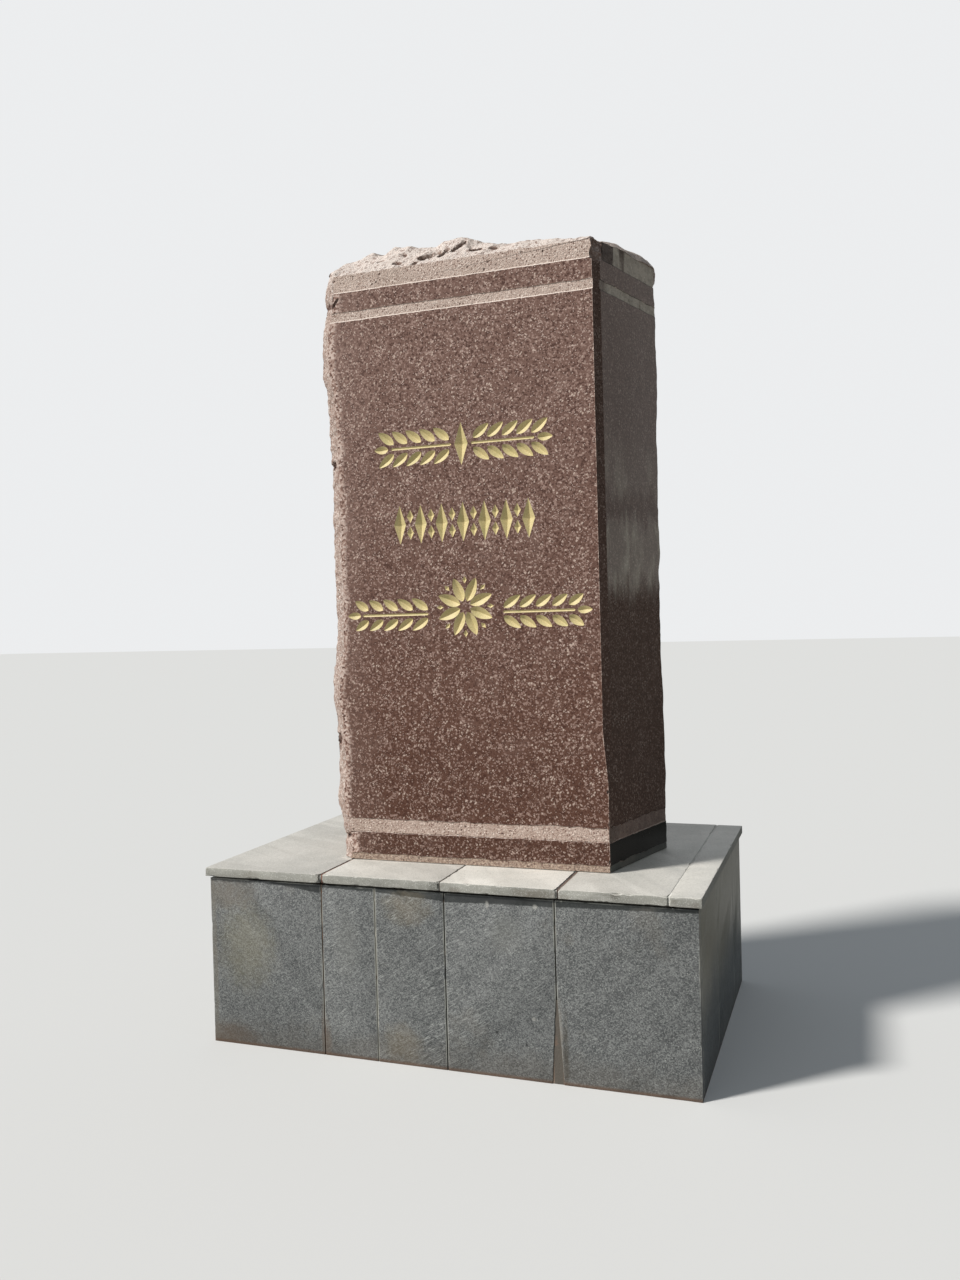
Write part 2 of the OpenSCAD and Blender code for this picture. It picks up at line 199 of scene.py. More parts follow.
room = bpy.data.worlds.new("pale_room")
room.use_nodes = True
scene.world = room
room.node_tree.nodes.clear()
rays = Field(room.node_tree)
seen = rays.light_path("Is Camera Ray").larger(rays.light_path("Is Transmission Ray"))
seen = seen.larger(rays.light_path("Is Glossy Ray"))
room_light = rays.node("ShaderNodeBackground", None, Color=(0.84, 0.92, 1.0, 1.0), Strength=0.36)
room_seen = rays.node("ShaderNodeBackground", None, Color=(0.84, 0.85, 0.86, 1.0))
room_all = rays.node("ShaderNodeMixShader", None, n0=seen, n1=room_light, n2=room_seen)
rays.node("ShaderNodeOutputWorld", None, Surface=room_all)


def stage_plane(name, corners, colour, seen=None):
    """A plain plane of the studio. With seen, the camera sees that colour and the light the other."""
    shape = bpy.data.meshes.new(name)
    shape.from_pydata(corners, [], [(0, 1, 2, 3)])
    made = bpy.data.objects.new(name, shape)
    scene.collection.objects.link(made)
    paint = bpy.data.materials.new(name)
    paint.use_nodes = True
    skin = paint.node_tree.nodes["Principled BSDF"]
    skin.inputs["Base Color"].default_value = colour
    skin.inputs["Roughness"].default_value = 0.9
    skin.inputs["Specular IOR Level"].default_value = 0.0
    if seen is not None:
        Field(paint.node_tree).light_path("Is Camera Ray").blend(colour, seen).feeds(skin, "Base Color")
    shape.materials.append(paint)
    return made


floor_reach = 60.0
ground = [(x * floor_reach, y * floor_reach, 0) for x, y in ((-1, -1), (1, -1), (1, 1), (-1, 1))]
stage_plane("floor", ground, (0.34, 0.34, 0.33, 1.0), (0.60, 0.60, 0.59, 1.0))
# dark cloths hung and laid on the right keep the polished side from going milky. The camera doesn't see them
behind = [(3.0, 9.0, 0), (9.0, 2.0, 0), (9.0, 2.0, 9.0), (3.0, 9.0, 9.0)]
beside = [(9.0, 2.0, 0), (9.0, -3.0, 0), (9.0, -3.0, 9.0), (9.0, 2.0, 9.0)]
laid = [(1.2, 0.8, 0.002), (9.0, -2.0, 0.002), (9.0, 2.0, 0.002), (3.0, 9.0, 0.002)]
for name, corners in (("cloth_behind", behind), ("cloth_beside", beside), ("cloth_laid", laid)):
    cloth = stage_plane(name, corners, (0.05, 0.055, 0.05, 1.0))
    cloth.visible_camera = False
    cloth.visible_diffuse = False
    cloth.visible_shadow = False

# Stele
# one block of red-brown granite, stood on edge: the front and the right side are ground and polished,
# with bush-hammered bands cut back a little, and the left side, back and top are left as the stone split.
# A traditional leaf and lozenge ornament is V-cut into the front by hand and gilded.
stele_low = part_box("stele")[0]
face_y = round(stele_low[1], 4)
foot_z = round(stele_low[2], 4)
side_turn = math.radians(15.0)
corner_x = 0.545
corner = Vector((corner_x, face_y, 0.0))
side_in = Vector((-math.cos(side_turn), math.sin(side_turn), 0.0))
side_along = Vector((math.sin(side_turn), math.cos(side_turn), 0.0))
band_depth = 0.002
# the split top, edge and all, lies above this height
top_z = 2.70
# up to this height the corner is sharp, and over the next stretch its chamfer grows to its full width
chamfer_z = foot_z + 0.3
chamfer_grows = 0.17
chamfer_wide = 0.014


def stone(name, sheen=0.5):
    """A new material with its shader and the place on the object as a field."""
    made = bpy.data.materials.new(name)
    made.use_nodes = True
    skin = made.node_tree.nodes["Principled BSDF"]
    skin.inputs["Specular IOR Level"].default_value = sheen
    return made, skin, Field(made.node_tree).node("ShaderNodeTexCoord", None, "Object")


def coated(colour, *coats):
    """Lays coats over a colour in turn: each has its colour, and how much of it shows at each place."""
    for tint, share in coats:
        colour = share.blend(colour, tint)
    return colour


def finish(skin, colour, roughness, height, depth, strength=1.0):
    """Feeds colour, roughness and a bump of the given depth in metres to a stone's shader."""
    colour.feeds(skin, "Base Color")
    if isinstance(roughness, Field):
        roughness.feeds(skin, "Roughness")
    else:
        skin.inputs["Roughness"].default_value = roughness
    bump = height.node("ShaderNodeBump", None, Height=height, Distance=depth, Strength=strength)
    bump.feeds(skin, "Normal")


def on_right_side(place):
    """1 on the right side of the stone and its chamfer, 0 on the front."""
    return place.facing(0).rise(0.28, 0.36)


def on_chamfer(place):
    """1 on the narrow chamfer between the front and the right side."""
    return on_right_side(place) * place.facing(0).rise(0.95, 0.90)


polished, skin, place = stone("polished_granite", 0.22)
up = place.part(2)
high = (up + place.cloud(4.0) * 0.8).rise(0.9, 3.2)
fine = place.cloud(340.0, 2.0, 0.75).rise(0.36, 0.64)
low_ground = fine.blend((76, 47, 37), (106, 76, 63))
high_ground = fine.blend((98, 72, 62), (132, 105, 95))
# pale and dark grains lie crowded in places, some of them drawn out one way and some another
crowd = place.cloud(17.0, 3.0, 0.6).rise(0.42, 0.68)
pick = place.warped(240.0, 0.003).cell_numbers(175.0)
pale_grain = high.blend((186, 162, 150), (206, 185, 174))
leaning = place.drawn_out(2.0, (0.5, 0.7, 0.0))
lying = place.drawn_out(2.0, (-0.6, -0.9, 0.0))
dull_end = (place.part(0) + place.cloud(6.0) * 0.2).rise(-0.12, -0.40)
colour = coated(
    high.blend(low_ground, high_ground),
    ((166, 140, 129), pick.rise(0.80, 0.86) * 0.62),
    ((66, 41, 33), pick.rise(0.22, 0.16) * (high * 0.15 + 0.60)),
    (pale_grain, place.flecks(230.0, crowd * 0.18 + 0.08, 0.40) * (high * 0.15 + 0.80)),
    ((204, 184, 170), leaning.flecks(135.0, crowd * 0.12 + 0.03, 0.36) * 0.85),
    ((198, 176, 163), lying.flecks(125.0, crowd * 0.10 + 0.03, 0.34) * 0.85),
    ((196, 174, 160), place.flecks(84.0, crowd * 0.12 + 0.02, 0.32) * 0.8),
    ((58, 37, 30), place.flecks(120.0, 0.10, 0.30) * 0.7),
    ((150, 126, 116), place.cloud(9.0).rise(0.55, 0.75) * 0.16),
    ((170, 145, 134), dull_end * 0.14))
# the shaded side is paler in ragged patches above about 1.6 m, and darker and browner below
side = on_right_side(place)
chamfer = on_chamfer(place)
height = up + place.drawn_out(4.0).cloud(24.0, 3.0, 0.6) * 0.22 - 0.11
shaded = up.rise(1.4, 0.9).blend((76, 64, 57), (68, 56, 50))
paler_above = place.part(1).rise(-0.30, 0.05).blend((124, 115, 110), (138, 129, 124))
bloom = place.drawn_out(3.0).cloud(10.0, 3.0, 0.6).rise(0.42, 0.62)
arch = height.rise(1.80, 1.86) * height.rise(1.96, 1.88)
paler_above = (height.rise(2.20, 1.66) * (bloom * 0.7 + 0.3) * (1 - arch * 0.9)).blend(paler_above, (194, 189, 174))
side_tone = (height.rise(1.53, 1.66) * (1 - chamfer) * (1 - arch * 0.25)).blend(shaded, paler_above)
near_foot = up.rise(0.80, 0.74)
low_front = (1 - side) * (near_foot * 0.12 + up.rise(1.25, 0.90) * 0.09)
# over the shaded side the grain is veiled by that flat tone: a painted reflection
colour = (side * 0.62).blend(colour, side_tone)
# painted shade: the chamfer is darker higher up. The front is also darker towards its foot
colour = colour.darkened(1 - chamfer * up.rise(1.5, 2.2) * 0.22 - low_front)
# a painted dark reflection and shade along the foot of the shaded side
colour = (side * near_foot * 0.90).blend(colour, (14, 17, 15))
# the split left edge wanders: heights over the foot and how far it comes in there, both in metres
left_x = -0.433
left_wander = [
    (0.0, 0.020), (0.118, 0.021), (0.150, -0.002), (0.178, -0.011), (0.290, -0.003), (0.470, -0.002),
    (0.560, -0.012), (0.617, -0.022), (0.700, -0.008), (0.765, 0.003), (1.100, 0.003), (1.320, 0.008),
    (1.425, 0.003), (1.655, -0.001), (1.720, -0.010), (1.775, -0.020), (1.880, -0.018), (1.945, -0.013),
    (1.975, -0.001), (2.120, 0.008)]
wander_height = 2.3
wander_span = 0.06
wander_stops = [(z / wander_height, (e / wander_span + 0.5,) * 3 + (1.0,)) for z, e in left_wander]
share_up = (up - foot_z) * (1 / wander_height)
wander = share_up.node("ShaderNodeValToRGB", {"stops": wander_stops}, Fac=share_up).part(0)
edge_gap = place.part(0) - left_x - (wander - 0.5) * wander_span
# the polish stops short of that edge: there the stone is bruised and pitted, and both arrises are nicked
bruise = (edge_gap + place.cloud(24.0, 4.0, 0.65) * 0.05).rise(0.058, 0.036)
front_arris = (up - chamfer_z).rise(0.0, chamfer_grows) * -chamfer_wide + corner_x
nick = (place.part(0) - front_arris + place.cloud(70.0, 3.0, 0.7) * 0.008).rise(0.0018, 0.0030) * (1 - side)
marred = bruise.larger(nick * 0.7)
pick = place.warped(240.0, 0.003).cell_numbers(150.0)
bruise_stops = [
    (0.0, tone(84, 58, 49)), (0.30, tone(140, 110, 98)),
    (0.55, tone(186, 160, 147)), (0.85, tone(216, 196, 184))]
colour = (marred * 0.85).blend(colour, pick.node("ShaderNodeValToRGB", {"stops": bruise_stops}, Fac=pick))
roughness = marred * 0.5 + place.cloud(30.0, 3.0) * 0.12 + dull_end * 0.08 + 0.19
finish(skin, colour, roughness, place.cloud(500.0, 1.0) + marred * pick * 6, 0.0003, 0.3)

hammered, skin, place = stone("bush_hammered_granite", 0.25)
up = place.part(2)
gap = place.warped(260.0, 0.003).cells(185.0)[0]
grain = place.cloud(300.0, 3.0, 0.75)
mottle = place.cloud(26.0, 3.0, 0.6).rise(0.3, 0.7)
low_ground = mottle.blend((175, 151, 138), (189, 167, 154))
high_ground = mottle.blend((190, 168, 155), (205, 185, 172))
holes = place.flecks(66.0, 0.10, 0.22)
foot_strip = up.rise(0.668, 0.660)
soiled = place.cloud(110.0, 3.0, 0.7).rise(0.40, 0.58).blend((92, 68, 54), (180, 160, 140))
# the band's lower border looks up, and there the stone is painted nearly white: a painted highlight
lit_lower_border = place.facing(2).rise(0.2, 0.4)
colour = coated(
    up.rise(1.5, 2.4).blend(low_ground, high_ground),
    ((220, 203, 191), grain.rise(0.46, 0.66) * 0.8),
    ((138, 110, 98), grain.rise(0.50, 0.34) * 0.7),
    ((230, 214, 202), place.flecks(150.0, 0.26, 0.42) * 0.9),
    ((122, 94, 83), place.flecks(140.0, 0.26, 0.40) * 0.95),
    ((88, 62, 53), holes * 0.85),
    ((234, 220, 209), lit_lower_border * 0.9),
    (soiled, foot_strip * 0.6))
# on the shaded side lichen and dark drips cover the bands, most of all at the top and along the front arris
side = on_right_side(place)
inward = place.part(1)
drips = place.drawn_out(9.0).cloud(22.0, 3.0, 0.6)
near_top = up.rise(top_z - 0.04, top_z)
near_arris = (inward + drips * 0.10).rise(-0.055, -0.105)
streaks = (drips + (inward + 0.10) * 0.5).rise(0.53, 0.46) * near_arris * near_top
fade = inward.rise(-0.245, -0.295) * (0.8 - near_top * 0.3)
lichen = up.rise(1.5, 2.2).blend((90, 74, 67), (160, 156, 142))
stained = streaks.larger(fade).larger(drips.rise(0.40, 0.30) * 0.5).blend(lichen, (48, 38, 33))
dirt = place.cloud(34.0, 3.0).rise(0.44, 0.60)
side_dirt = side * (dirt * 0.20 + streaks * 0.35)
front_dirt = dirt * up.rise(0.76, 0.72) * (1 - side) * 0.08
colour = (side * (up.rise(1.5, 2.2) * -0.12 + 0.82)).blend(colour, stained)
# painted shade darkens the bands on the chamfer; dirt darkens the side and the foot of the front
colour = coated(
    colour.darkened(1 - on_chamfer(place) * 0.60 - side_dirt - front_dirt),
    # the foot of the shaded side: greenish grime, and painted shade and dark reflection
    ((84, 92, 88), side * up.rise(0.72, 0.66) * 0.7),
    ((150, 134, 118), place.cloud(5.0, 3.0, 0.6).rise(0.45, 0.75) * 0.18))
finish(skin, colour, 0.85, (1 - gap) * 0.7 + grain * 0.8 - holes * 1.2, 0.0032)

split, skin, place = stone("split_granite", 0.25)
up = place.part(2)
deep = place.node("ShaderNodeAttribute", {"attribute_name": "deep"}, out=2)
coarse = place.warped(60.0, 0.006).cloud(120.0, 4.0, 0.7)
grain = place.cloud(430.0, 3.0, 0.7)
mottle = place.cloud(13.0, 4.0, 0.62).rise(0.3, 0.72)
pick = place.warped(200.0, 0.004).cell_numbers(140.0)
# the top looks up and is paler: bleached by rain, and in part a painted highlight. Towards the back it has
# greyed in patches
bleached_and_lit = (up + place.cloud(9.0) * 0.10).rise(top_z, top_z + 0.10)
bleached_and_lit = bleached_and_lit * place.facing(2, "Normal").rise(0.0, 0.40)
weather = place.cloud(3.4, 4.0, 0.6).rise(0.46, 0.72) * place.part(1).rise(-0.20, 0.05)
colour = coated(
    mottle.blend((168, 143, 131), (193, 172, 160)),
    ((218, 202, 191), grain.rise(0.48, 0.72) * 0.65),
    ((250, 240, 231), bleached_and_lit * 0.62),
    ((136, 106, 94), pick.rise(0.76, 0.88) * 0.6),
    ((226, 211, 201), pick.rise(0.20, 0.10) * 0.6),
    ((122, 92, 81), coarse.rise(0.46, 0.30) * 0.85),
    ((98, 70, 60), place.flecks(90.0, 0.16, 0.28) * (0.8 - bleached_and_lit * 0.2)),
    ((242, 233, 225), coarse.rise(0.54, 0.64) * 0.7),
    # painted highlight along the top's front edge, and painted shade in the knocks and chips
    ((243, 234, 226), deep.rise(-0.10, -0.55) * 0.85),
    ((92, 62, 52), deep.rise(0.25, 0.9) * 0.85),
    ((146, 136, 120), weather * 0.35),
    # split faces that look right are painted darker: painted shade
    ((118, 103, 92), on_right_side(place) * 0.50))
finish(skin, colour, 0.9, coarse * 0.7 + grain * 0.3, 0.011)

gilt, skin, place = stone("gilding")
worn = place.cloud(260.0, 3.0, 0.6)
patina = place.cloud(18.0, 3.0, 0.6).rise(0.48, 0.68)
colour = worn.rise(0.35, 0.7).blend((190, 173, 122), (213, 197, 146))
colour = (patina * 0.35).blend(colour, (153, 149, 92))
finish(skin, colour, worn * 0.25 + 0.45, worn, 0.0006, 0.5)

finishes = [polished, hammered, split, gilt]
POLISHED, HAMMERED, SPLIT, GILT = range(4)


class Cuts:
    """Collects what is cut out of the stone as one mesh of closed bodies: V-shaped grooves, and chips."""

    def __init__(self, steepness):
        self.steep = steepness
        # grooves are drawn this much wider, to start in front of the face, and end this far beyond their tips
        self.room = 0.0016
        self.over = 0.0008
        self.points = []
        self.faces = []
        self.kinds = []
        self.chips = []

    def add(self, kind, *faces):
        self.faces += faces
        self.kinds += [kind] * len(faces)

    def wedge(self, x, z, turn, stations):
        """A groove along a line at (x, z) turned from level: stations are (place along it, half width)."""
        c, s = math.cos(turn), math.sin(turn)
        base = len(self.points)
        front = face_y - self.steep * self.room
        for along, half in stations:
            wide = half + self.room
            line_x, line_z = x + along * c, z + along * s
            for side in (1, -1):
                self.points.append((line_x - side * wide * s, front, line_z + side * wide * c))
            self.points.append((line_x, front + self.steep * wide, line_z))
        n = len(stations)
        for i in range(n - 1):
            a, b = base + 3 * i, base + 3 * (i + 1)
            self.add(GILT, (a, b + 1, b), (a, a + 1, b + 1), (a, b + 2, a + 2), (a, b, b + 2))
            self.add(GILT, (a + 1, b + 2, b + 1), (a + 1, a + 2, b + 2))
        last = base + 3 * (n - 1)
        self.add(GILT, (base, base + 2, base + 1), (last, last + 1, last + 2))

    def chip(self, centre, wide, high, lean=0.0):
        """A rough lump broken off: its half width and half height, and how far its top leans over."""
        self.chips.append((Vector(centre), wide + abs(lean) * 0.5, high))
        x, y, z = centre
        base = len(self.points)
        around = max(9, round(wide / 0.0035))
        rings = around * 2 // 3 - 1
        self.points.append((x - lean, y, z - high))
        for j in range(1, rings + 1):
            level = -math.pi / 2 + math.pi * j / (rings + 1)
            reach = math.cos(level)
            for i in range(around):
                turn = 2 * math.pi * (i + 0.5 * (j % 2)) / around
                p = Vector((math.cos(turn) * reach, math.sin(turn) * reach, math.sin(level)))
                p *= 1 + 0.35 * noise.noise(p * 1.7 + Vector(centre) * 40)
                self.points.append((x + p.x * wide + p.z * lean, y + p.y * wide, z + p.z * high))
        self.points.append((x + lean, y, z + high))
        top = len(self.points) - 1
        for i in range(around):
            k = (i + 1) % around
            self.add(SPLIT, (base, base + 1 + k, base + 1 + i), (top - around + i, top - around + k, top))
            for j in range(rings - 1):
                a, b = base + 1 + j * around + i, base + 1 + j * around + k
                self.add(SPLIT, (a, b, b + around), (a, b + around, a + around))

    def leaf(self, x, z, turn, length, width):
        steps = 12
        row = []
        for i in range(1, steps):
            t = -1 + 2 * i / steps
            row.append((t * length / 2, width / 2 * (1 - t * t) ** 0.75 * (1 - 0.22 * t)))
        tip = length / 2 + 0.0009
        self.wedge(x, z, turn, [(-tip, -self.over)] + row + [(tip, -self.over)])

    def lozenge(self, x, z, turn, length, width):
        tip = length / 2 + self.over
        end = -self.over * (width / length)
        self.wedge(x, z, turn, [(-tip, end), (0.0, width / 2), (tip, end)])

    def bar(self, x, z, turn, length, width):
        tip = length / 2 + self.over
        h = width / 2
        straight = length / 2 - h
        self.wedge(x, z, turn, [(-tip, -self.over), (-straight, h), (straight, h), (tip, -self.over)])


cut = Cuts(0.62)
middle = 0.050


def spray(z, side, stem, pairs, leaf, tip):
    """A laurel spray to one side of the middle: a stem, five pairs of leaves and one more leaf at the tip."""
    stem_from, stem_length = stem
    first, step, lift, tilt = pairs
    length, shorter, width = leaf
    tip_from, tip_length, tip_width = tip
    cut.bar(middle + side * stem_from, z, 0.0, stem_length, 0.009)
    for k in range(5):
        for over in (-1, 1):
            lean = math.radians(tilt) * over
            turn = lean if side > 0 else math.pi - lean
            cut.leaf(middle + side * (first + step * k), z + over * lift, turn, length - shorter * k, width)
    cut.leaf(middle + side * tip_from, z, 0.0 if side > 0 else math.pi, tip_length, tip_width)


# upper row: a laurel band running out from a lozenge
row_z = 2.110
cut.lozenge(middle, row_z, math.pi / 2, 0.150, 0.050)
for side in (-1, 1):
    spray(row_z, side, (0.152, 0.232), (0.074, 0.053, 0.040, 38), (0.074, 0.0, 0.031), (0.305, 0.054, 0.028))
# middle row: upright lozenges with pairs of small ones between
row_z = 1.838
step = 0.0800
for k in range(-3, 4):
    cut.lozenge(middle + k * step, row_z, math.pi / 2, 0.138, 0.046)
    if k < 3:
        for lift in (-0.029, 0.029):
            cut.lozenge(middle + k * step + step / 2, row_z + lift, math.pi / 2, 0.048, 0.026)
# lower row: an eight-leaved rosette with a laurel spray on each side, set a little lower
row_z = 1.541
for k in range(8):
    a = math.pi / 4 * k + math.pi / 8
    cut.leaf(middle + 0.064 * math.cos(a), row_z + 0.064 * math.sin(a), a, 0.088, 0.038)
    b = a + math.pi / 8
    cut.lozenge(middle + 0.094 * math.cos(b), row_z + 0.094 * math.sin(b), b, 0.026, 0.016)
row_z = row_z - 0.022
for side in (-1, 1):
    spray(row_z, side, (0.268, 0.258), (0.172, 0.057, 0.036, 34), (0.074, 0.003, 0.03), (0.430, 0.052, 0.026))

# the sharp corner is knocked off at the top and nicked lower down, and the top band's left end has a gouge
cut.chip((0.599, -0.358, 2.736), 0.080, 0.078)
cut.chip((-0.430, -0.340, 2.650), 0.0075, 0.022, 0.019)
nicks = [(0.795, 0.0050, 0.008), (0.904, 0.0045, 0.006), (1.022, 0.0040, 0.010), (0.668, 0.0050, 0.006)]
for level, wide, high in nicks:
    cut.chip((corner_x + 0.0015, face_y - 0.0015, level), wide, high)


def cad_mesh(name, flat_within):
    """The CAD solid's own skin as a closed mesh to work on, each flat face in one piece again."""
    skin_of = nodes[name].data
    plain = bpy.data.meshes.new("plain")
    plain.from_pydata([v.co[:] for v in skin_of.vertices], [], [p.vertices[:] for p in skin_of.polygons])
    bm = bmesh.new()
    bm.from_mesh(plain)
    bpy.data.meshes.remove(plain)
    bmesh.ops.remove_doubles(bm, verts=bm.verts, dist=1e-5)
    bmesh.ops.dissolve_limit(bm, angle_limit=flat_within, verts=bm.verts, edges=bm.edges)
    return bm


def as_object(name, bm, materials):
    mesh = bpy.data.meshes.new(name)
    bm.to_mesh(mesh)
    bm.free()
    for m in materials:
        mesh.materials.append(m)
    made = bpy.data.objects.new(name, mesh)
    scene.collection.objects.link(made)
    return made


stele = as_object("stele_stone", cad_mesh("stele", 0.0008), finishes)
cut_mesh = bpy.data.meshes.new("cuts")
cut_mesh.from_pydata(cut.points, [], cut.faces)
for m in finishes:
    cut_mesh.materials.append(m)
cut_mesh.polygons.foreach_set("material_index", cut.kinds)
cutter = bpy.data.objects.new("cuts", cut_mesh)
scene.collection.objects.link(cutter)
tool = stele.modifiers.new("cut", "BOOLEAN")
tool.operation = "DIFFERENCE"
tool.solver = "EXACT"
tool.object = cutter
carved = bpy.data.meshes.new_from_object(stele.evaluated_get(bpy.context.evaluated_depsgraph_get()))
stele.modifiers.clear()
stele.data = carved
bpy.data.objects.remove(cutter)
bpy.data.meshes.remove(cut_mesh)


def depths(p):
    """How far a point lies behind the polished front and behind the polished right side."""
    return p.y - face_y, (p - corner).dot(side_in)


# a face whose normal reaches this share of an axis lies square to it
square = 0.9999


def worked(face):
    """Which finish a face has by where it lies."""
    if face.material_index in (GILT, SPLIT):
        return face.material_index
    at = face.calc_center_median()
    n = face.normal
    behind_front, behind_side = depths(at)
    nearest = min(behind_front, behind_side)
    if n.y < -square:
        return POLISHED if behind_front < band_depth / 2 else HAMMERED
    if n.dot(side_in) < -square:
        return POLISHED if behind_side < band_depth / 2 else HAMMERED
    borders_band = abs(n.z) > square and nearest < 0.03
    underneath = n.z < -square and at.z < foot_z + 0.001
    if borders_band or underneath:
        return HAMMERED
    chamfered = nearest < 0.02 and n.x > 0.3 and n.y < -0.3
    return POLISHED if chamfered else SPLIT


bm = bmesh.new()
bm.from_mesh(stele.data)
bm.normal_update()
for face in bm.faces:
    face.material_index = worked(face)

# the borders of the bands are struck by hand: the lower arris is bruised off and the upper one wanders
lowest, highest = foot_z + 0.01, foot_z + 2.07
ledges = [f for f in bm.faces if abs(f.normal.z) > square and lowest < f.calc_center_median().z < highest]
strip = list(dict.fromkeys(part for f in ledges for part in (f, *f.edges, *f.verts)))
step = 0.012
slices = [(Vector((-0.49 + step * k, 0, 0)), Vector((1, 0, 0))) for k in range(86)]
slices += [(corner + side_along * (step * k), side_along) for k in range(1, 38)]
for spot, square_to in slices:
    strip = bmesh.ops.bisect_plane(bm, geom=strip, dist=1e-6, plane_co=spot, plane_no=square_to)["geom"]
moves = {}
for f in strip:
    if not isinstance(f, bmesh.types.BMFace):
        continue
    for v in f.verts:
        p = v.co
        outer = min(depths(p)) < band_depth / 2
        long_wave = noise.noise(Vector((p.x * 20, p.y * 20, p.z * 3)))
        short_wave = noise.noise(Vector((p.x * 85, p.y * 85, p.z * 3 + 9)))
        if f.normal.z > 0:
            # the lower border of a band
            moves[v] = (-0.0034 if outer else 0.0) + 0.0010 * long_wave + 0.0010 * short_wave
        else:
            moves[v] = 0.0022 * long_wave + 0.0014 * short_wave - (0.0 if outer else 0.0010)
for v, fall in moves.items():
    v.co.z += fall
bm.normal_update()

# the split faces are cut into triangles, and these are halved until they are as small as the stone's breaks
bm.verts.index_update()
points = [v.co.copy() for v in bm.verts]
loops = []
for face in bm.faces:
    ring = [v.index for v in face.verts]
    if face.material_index != SPLIT or len(ring) == 3:
        loops.append((ring, face.material_index))
        continue
    flat_x = (points[ring[1]] - points[ring[0]]).normalized()
    flat_y = face.normal.cross(flat_x)
    flat = [Vector((points[i].dot(flat_x), points[i].dot(flat_y))) for i in ring]
    found = geometry.delaunay_2d_cdt(flat, [], [list(range(len(ring)))], 1, 1e-9)
    corners, threes, sources = found[0], found[2], found[3]
    if len(corners) == len(ring):
        threes = [[sources[i][0] for i in three] for three in threes]
    else:
        threes = geometry.tessellate_polygon([[points[i] for i in ring]])
    loops += [([ring[i] for i in three], SPLIT) for three in threes]
bm.free()


def key_of(a, b):
    return (a, b) if a < b else (b, a)


def grain_size(p):
    """How long the edges of the split faces may be: finer where the stone is looked at from close by."""
    fine = p.y < -0.20 or p.z > top_z - 0.04
    return 0.0090 if fine else 0.0165


while True:
    middles = {}
    for ring, kind in loops:
        if kind != SPLIT:
            continue
        for a, b in zip(ring, ring[1:] + ring[:1]):
            if key_of(a, b) not in middles and (points[a] - points[b]).length > grain_size(points[a]):
                middles[key_of(a, b)] = len(points)
                points.append((points[a] + points[b]) / 2)
    if not middles:
        break
    halved = []
    for ring, kind in loops:
        between = [middles.get(key_of(a, b)) for a, b in zip(ring, ring[1:] + ring[:1])]
        if kind != SPLIT:
            halved.append(([i for pair in zip(ring, between) for i in pair if i is not None], kind))
            continue
        whole = between.count(None)
        while whole in (1, 2) and (between[0] is None or between[2] is not None):
            ring = ring[1:] + ring[:1]
            between = between[1:] + between[:1]
        a, b, c = ring
        ab, bc, ca = between
        if whole == 3:
            threes = [ring]
        elif whole == 2:
            threes = [[a, ab, c], [ab, b, c]]
        elif whole == 1 and (points[a] - points[bc]).length < (points[ab] - points[c]).length:
            threes = [[ab, b, bc], [a, ab, bc], [a, bc, c]]
        elif whole == 1:
            threes = [[ab, b, bc], [a, ab, c], [ab, bc, c]]
        else:
            threes = [[a, ab, ca], [ab, b, bc], [bc, c, ca], [ab, bc, ca]]
        halved += [(three, SPLIT) for three in threes]
    loops = halved
finer = bpy.data.meshes.new("finer")
finer.from_pydata(points, [], [ring for ring, kind in loops])
finer.polygons.foreach_set("material_index", [kind for ring, kind in loops])
bm = bmesh.new()
bm.from_mesh(finer)
bpy.data.meshes.remove(finer)
bm.normal_update()

# the crests of the top have weathered, and four that stood up sharply have worn right down
crests = [(-0.304, -0.253, 2.863), (-0.325, 0.087, 2.847), (0.614, 0.032, 2.802), (0.587, -0.071, 2.796)]
rock_top = [v for v in bm.verts if v.co.z > top_z and all(f.material_index == SPLIT for f in v.link_faces)]
near_crests = [v for v in rock_top if any((v.co - Vector(c)).length < 0.065 for c in crests)]
light_wear, heavy_wear = 3, 28
for turn in range(heavy_wear):
    eased = rock_top if turn < light_wear else near_crests
    means = [sum((e.other_vert(v).co for e in v.link_edges), Vector()) / len(v.link_edges) for v in eased]
    for v, mean in zip(eased, means):
        v.co = v.co.lerp(mean, 0.5)
bm.normal_update()

grain_run = Vector((0.78, 0.30, 0.55)).normalized()


def break_depth(p):
    """How deep the split stone lies behind its broad facets, in metres. It breaks along a slanting grain."""
    p = p - grain_run * (p.dot(grain_run) * 0.5)
    chips = noise.voronoi(p * 14.0)[0]
    small = noise.voronoi(p * 34.0 + Vector((3.1, 0.0, 0.0)))[0]
    rough = noise.fractal(p * 60.0, 0.9, 2.1, 3) + 0.4
    return (chips[1] - chips[0]) * 0.010 + (small[1] - small[0]) * 0.0035 + rough * 0.0019


def gap_to(p, start, end):
    """How far a point is from the straight line between two others."""
    share = geometry.intersect_point_line(p, Vector(start), Vector(end))[1]
    return (p - Vector(start).lerp(Vector(end), min(1.0, max(0.0, share)))).length


